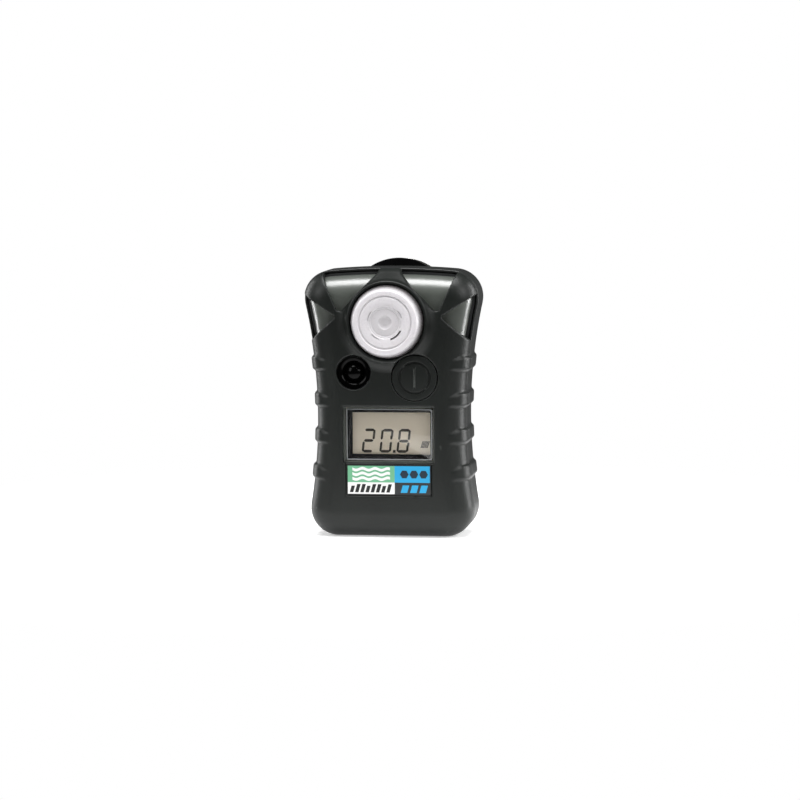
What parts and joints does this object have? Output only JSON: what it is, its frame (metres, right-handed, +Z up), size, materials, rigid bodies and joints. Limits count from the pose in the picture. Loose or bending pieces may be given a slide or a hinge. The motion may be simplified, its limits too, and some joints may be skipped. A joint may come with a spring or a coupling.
{
  "type": "portable gas detector",
  "caption": "Pocket gas detector with rubber-jacketed case, sensor cap, display, push button, horn port, alarm windows and rear spring clip.",
  "frame": {"origin": "on the flat bottom face, in the middle of its width, under the main board", "axes": "+Z up the case from the bottom face, +Y from the front towards the clip, +X to the right seen from the front"},
  "size_m": [0.056, 0.0428, 0.0883],
  "materials": {
    "jacket_rubber": "fine matt moulded elastomer",
    "smoked_plastic": "polished smoke-grey polycarbonate",
    "case_plastic": "fine textured black moulding",
    "gloss_plastic": "glossy black moulding",
    "clear_window": "clear polycarbonate lens",
    "foam": "closed-cell foam",
    "lcd": "grey reflective liquid-crystal cell",
    "silver_film": "satin reflector film",
    "front_print": "printed panels under clear film",
    "rear_print": "printed silver-grey film",
    "sensor_plastic": "light moulded plastic",
    "contact_gold": "gold-plated contact",
    "membrane": "porous white membrane",
    "frosted_plastic": "frosted white translucent moulding",
    "spring_steel": "polished nickel-plated steel",
    "board": "green solder mask",
    "chip_epoxy": "moulded epoxy",
    "alarm_red": "red diffused light",
    "cell_can": "shrink-wrapped metal can"
  },
  "bodies": {
    "case": {"front_jacket": "jacket_rubber", "front_housing": "smoked_plastic", "rear_housing": "case_plastic", "case_gasket": "foam", "case_screw_1": "spring_steel", "case_screw_2": "spring_steel", "case_screw_3": "spring_steel", "case_screw_4": "spring_steel", "display_window": "clear_window", "display_gasket": "foam", "lcd_glass": "lcd", "lcd_reflector": "silver_film", "contact_strip_lower": "jacket_rubber", "contact_strip_upper": "jacket_rubber", "lcd_frame": "case_plastic", "front_label": "front_print", "rear_label": "rear_print", "sensor_body": "sensor_plastic", "sensor_pin_1": "contact_gold", "sensor_pin_2": "contact_gold", "sensor_pin_3": "contact_gold", "sensor_gasket": "jacket_rubber", "dust_filter": "membrane", "sensor_cap": "frosted_plastic", "horn_funnel": "gloss_plastic", "horn_gasket": "foam", "horn_mesh": "spring_steel", "buzzer": "case_plastic", "switch_body": "case_plastic", "main_board": "board", "display_board": "board", "board_connector": "case_plastic", "controller_chip": "chip_epoxy", "alarm_led_left": "alarm_red", "alarm_led_right": "alarm_red", "battery_cell": "cell_can", "battery_cradle": "case_plastic", "battery_contact_left": "spring_steel", "battery_contact_right": "spring_steel", "vibration_motor": "spring_steel", "motor_strap": "spring_steel", "clip_base": "spring_steel", "clip_pin": "spring_steel", "clip_spring": "spring_steel", "clip_screw": "spring_steel"},
    "button": {"power_button": "jacket_rubber"},
    "plunger": {"switch_plunger": "gloss_plastic"},
    "weight": {"motor_weight": "spring_steel"},
    "clip_arm": {"clip_lever": "spring_steel"}
  },
  "joints": [
    {"name": "button_press", "type": "slide", "parent": "case", "child": "button", "axis": [0, 1, 0], "range_m": [0, 0.0006], "stiffness_N_per_m": 2500, "springref_m": -0.0002},
    {"name": "switch_press", "type": "slide", "parent": "case", "child": "plunger", "axis": [0, 1, 0], "range_m": [0, 0.0006]},
    {"name": "motor_spin", "type": "hinge", "parent": "case", "child": "weight", "pos_m": [0.005, 0.0059, 0.034], "axis": [1, 0, 0], "continuous": true},
    {"name": "clip_open", "type": "hinge", "parent": "case", "child": "clip_arm", "pos_m": [0, 0.017, 0.066], "axis": [1, 0, 0], "range_deg": [0, 22], "stiffness_Nm_per_rad": 0.25, "springref_deg": -20.05, "deforming": ["clip_spring"]}
  ],
  "couplings": [
    {"joint": "switch_press", "follows": "button_press", "ratio": 1}
  ]
}
